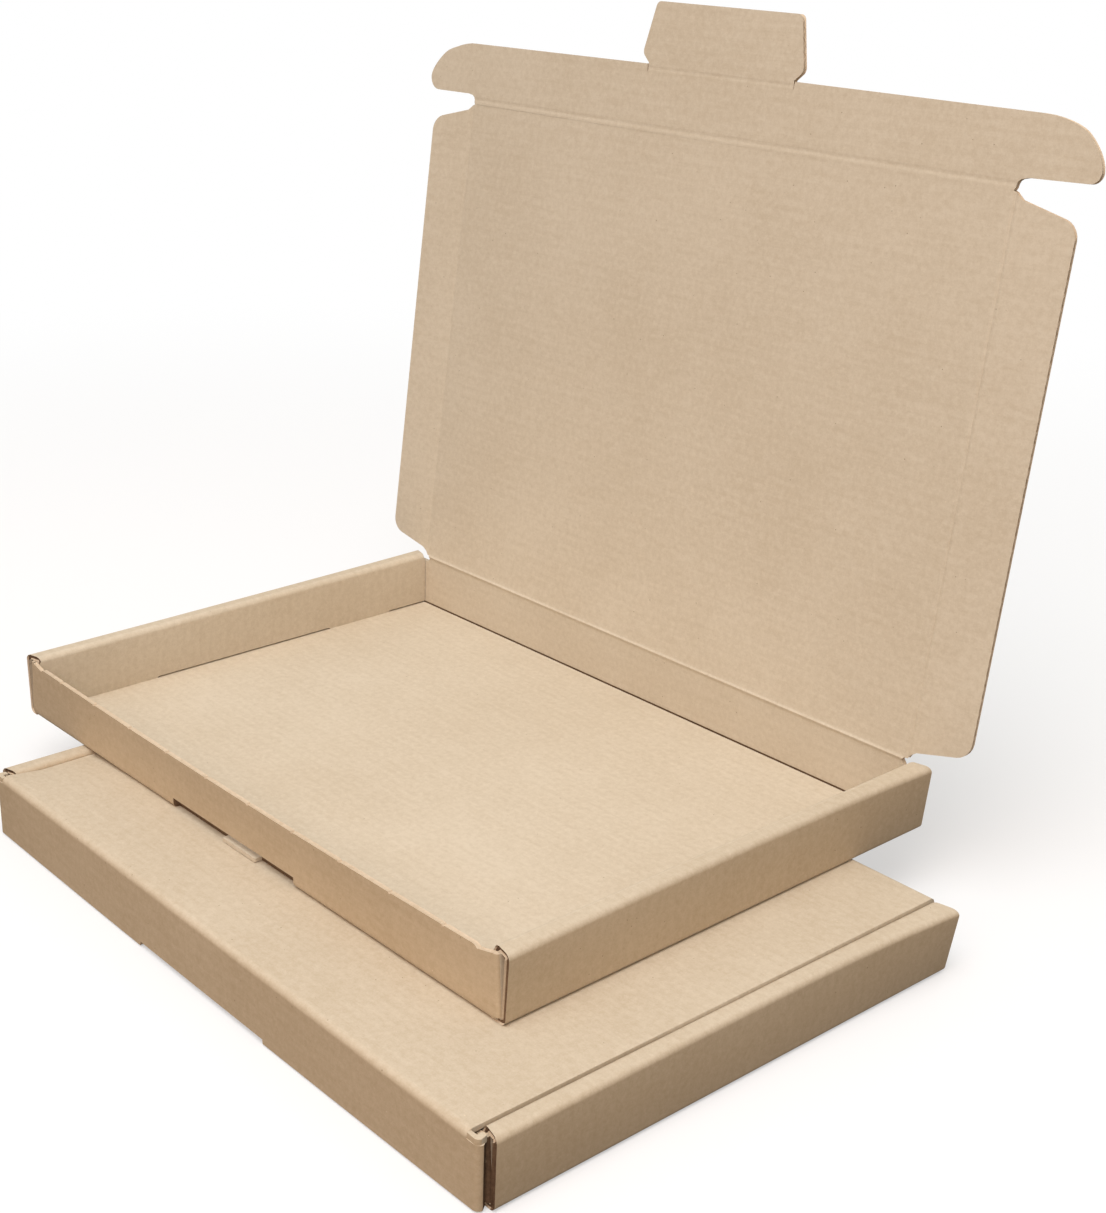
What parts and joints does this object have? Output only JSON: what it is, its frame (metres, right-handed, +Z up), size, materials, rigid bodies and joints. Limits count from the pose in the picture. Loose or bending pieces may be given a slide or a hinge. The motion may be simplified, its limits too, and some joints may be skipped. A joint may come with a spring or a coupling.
{
  "type": "stack of folded corrugated mailing trays",
  "caption": "Shallow die-cut corrugated mailing trays stacked askew, the lower one closed, the upper one open with its hinged lid, side flaps and front lock flap standing up.",
  "frame": {"origin": "centre of the underside of the lower tray", "axes": "+X along the lid's crease, -Y towards the front walls with the lock slots, +Z up"},
  "size_m": [0.2797, 0.2156, 0.2356],
  "materials": {
    "kraft_board": "uncoated brown kraft liner, matte"
  },
  "bodies": {
    "trays": {"lower_tray": "kraft_board", "upper_tray": "kraft_board"},
    "lid": {"upper_lid": "kraft_board"},
    "left_flap": {"upper_dust_flap_left": "kraft_board"},
    "right_flap": {"upper_dust_flap_right": "kraft_board"},
    "front_flap": {"upper_front_flap": "kraft_board"},
    "lock_tab": {"upper_lock_tab": "kraft_board"}
  },
  "joints": [
    {"name": "lid_hinge", "type": "hinge", "parent": "trays", "child": "lid", "pos_m": [-0.03175, 0.10725, 0.0393], "axis": [1, 0, 0], "range_deg": [-83.1, 60.9]},
    {"name": "left_flap_hinge", "type": "hinge", "parent": "lid", "child": "left_flap", "pos_m": [-0.13995, 0.11692, 0.11922], "axis": [0, 0.1201, 0.9928], "range_deg": [-8, 82]},
    {"name": "right_flap_hinge", "type": "hinge", "parent": "lid", "child": "right_flap", "pos_m": [0.07645, 0.11692, 0.11922], "axis": [0, -0.1201, -0.9928], "range_deg": [0, 97]},
    {"name": "front_flap_hinge", "type": "hinge", "parent": "lid", "child": "front_flap", "pos_m": [-0.03175, 0.12659, 0.19913], "axis": [1, 0, 0], "range_deg": [0, 90]},
    {"name": "lock_tab_hinge", "type": "hinge", "parent": "front_flap", "child": "lock_tab", "pos_m": [-0.03175, 0.12865, 0.21611], "axis": [1, 0, 0], "range_deg": [0, 90]}
  ]
}
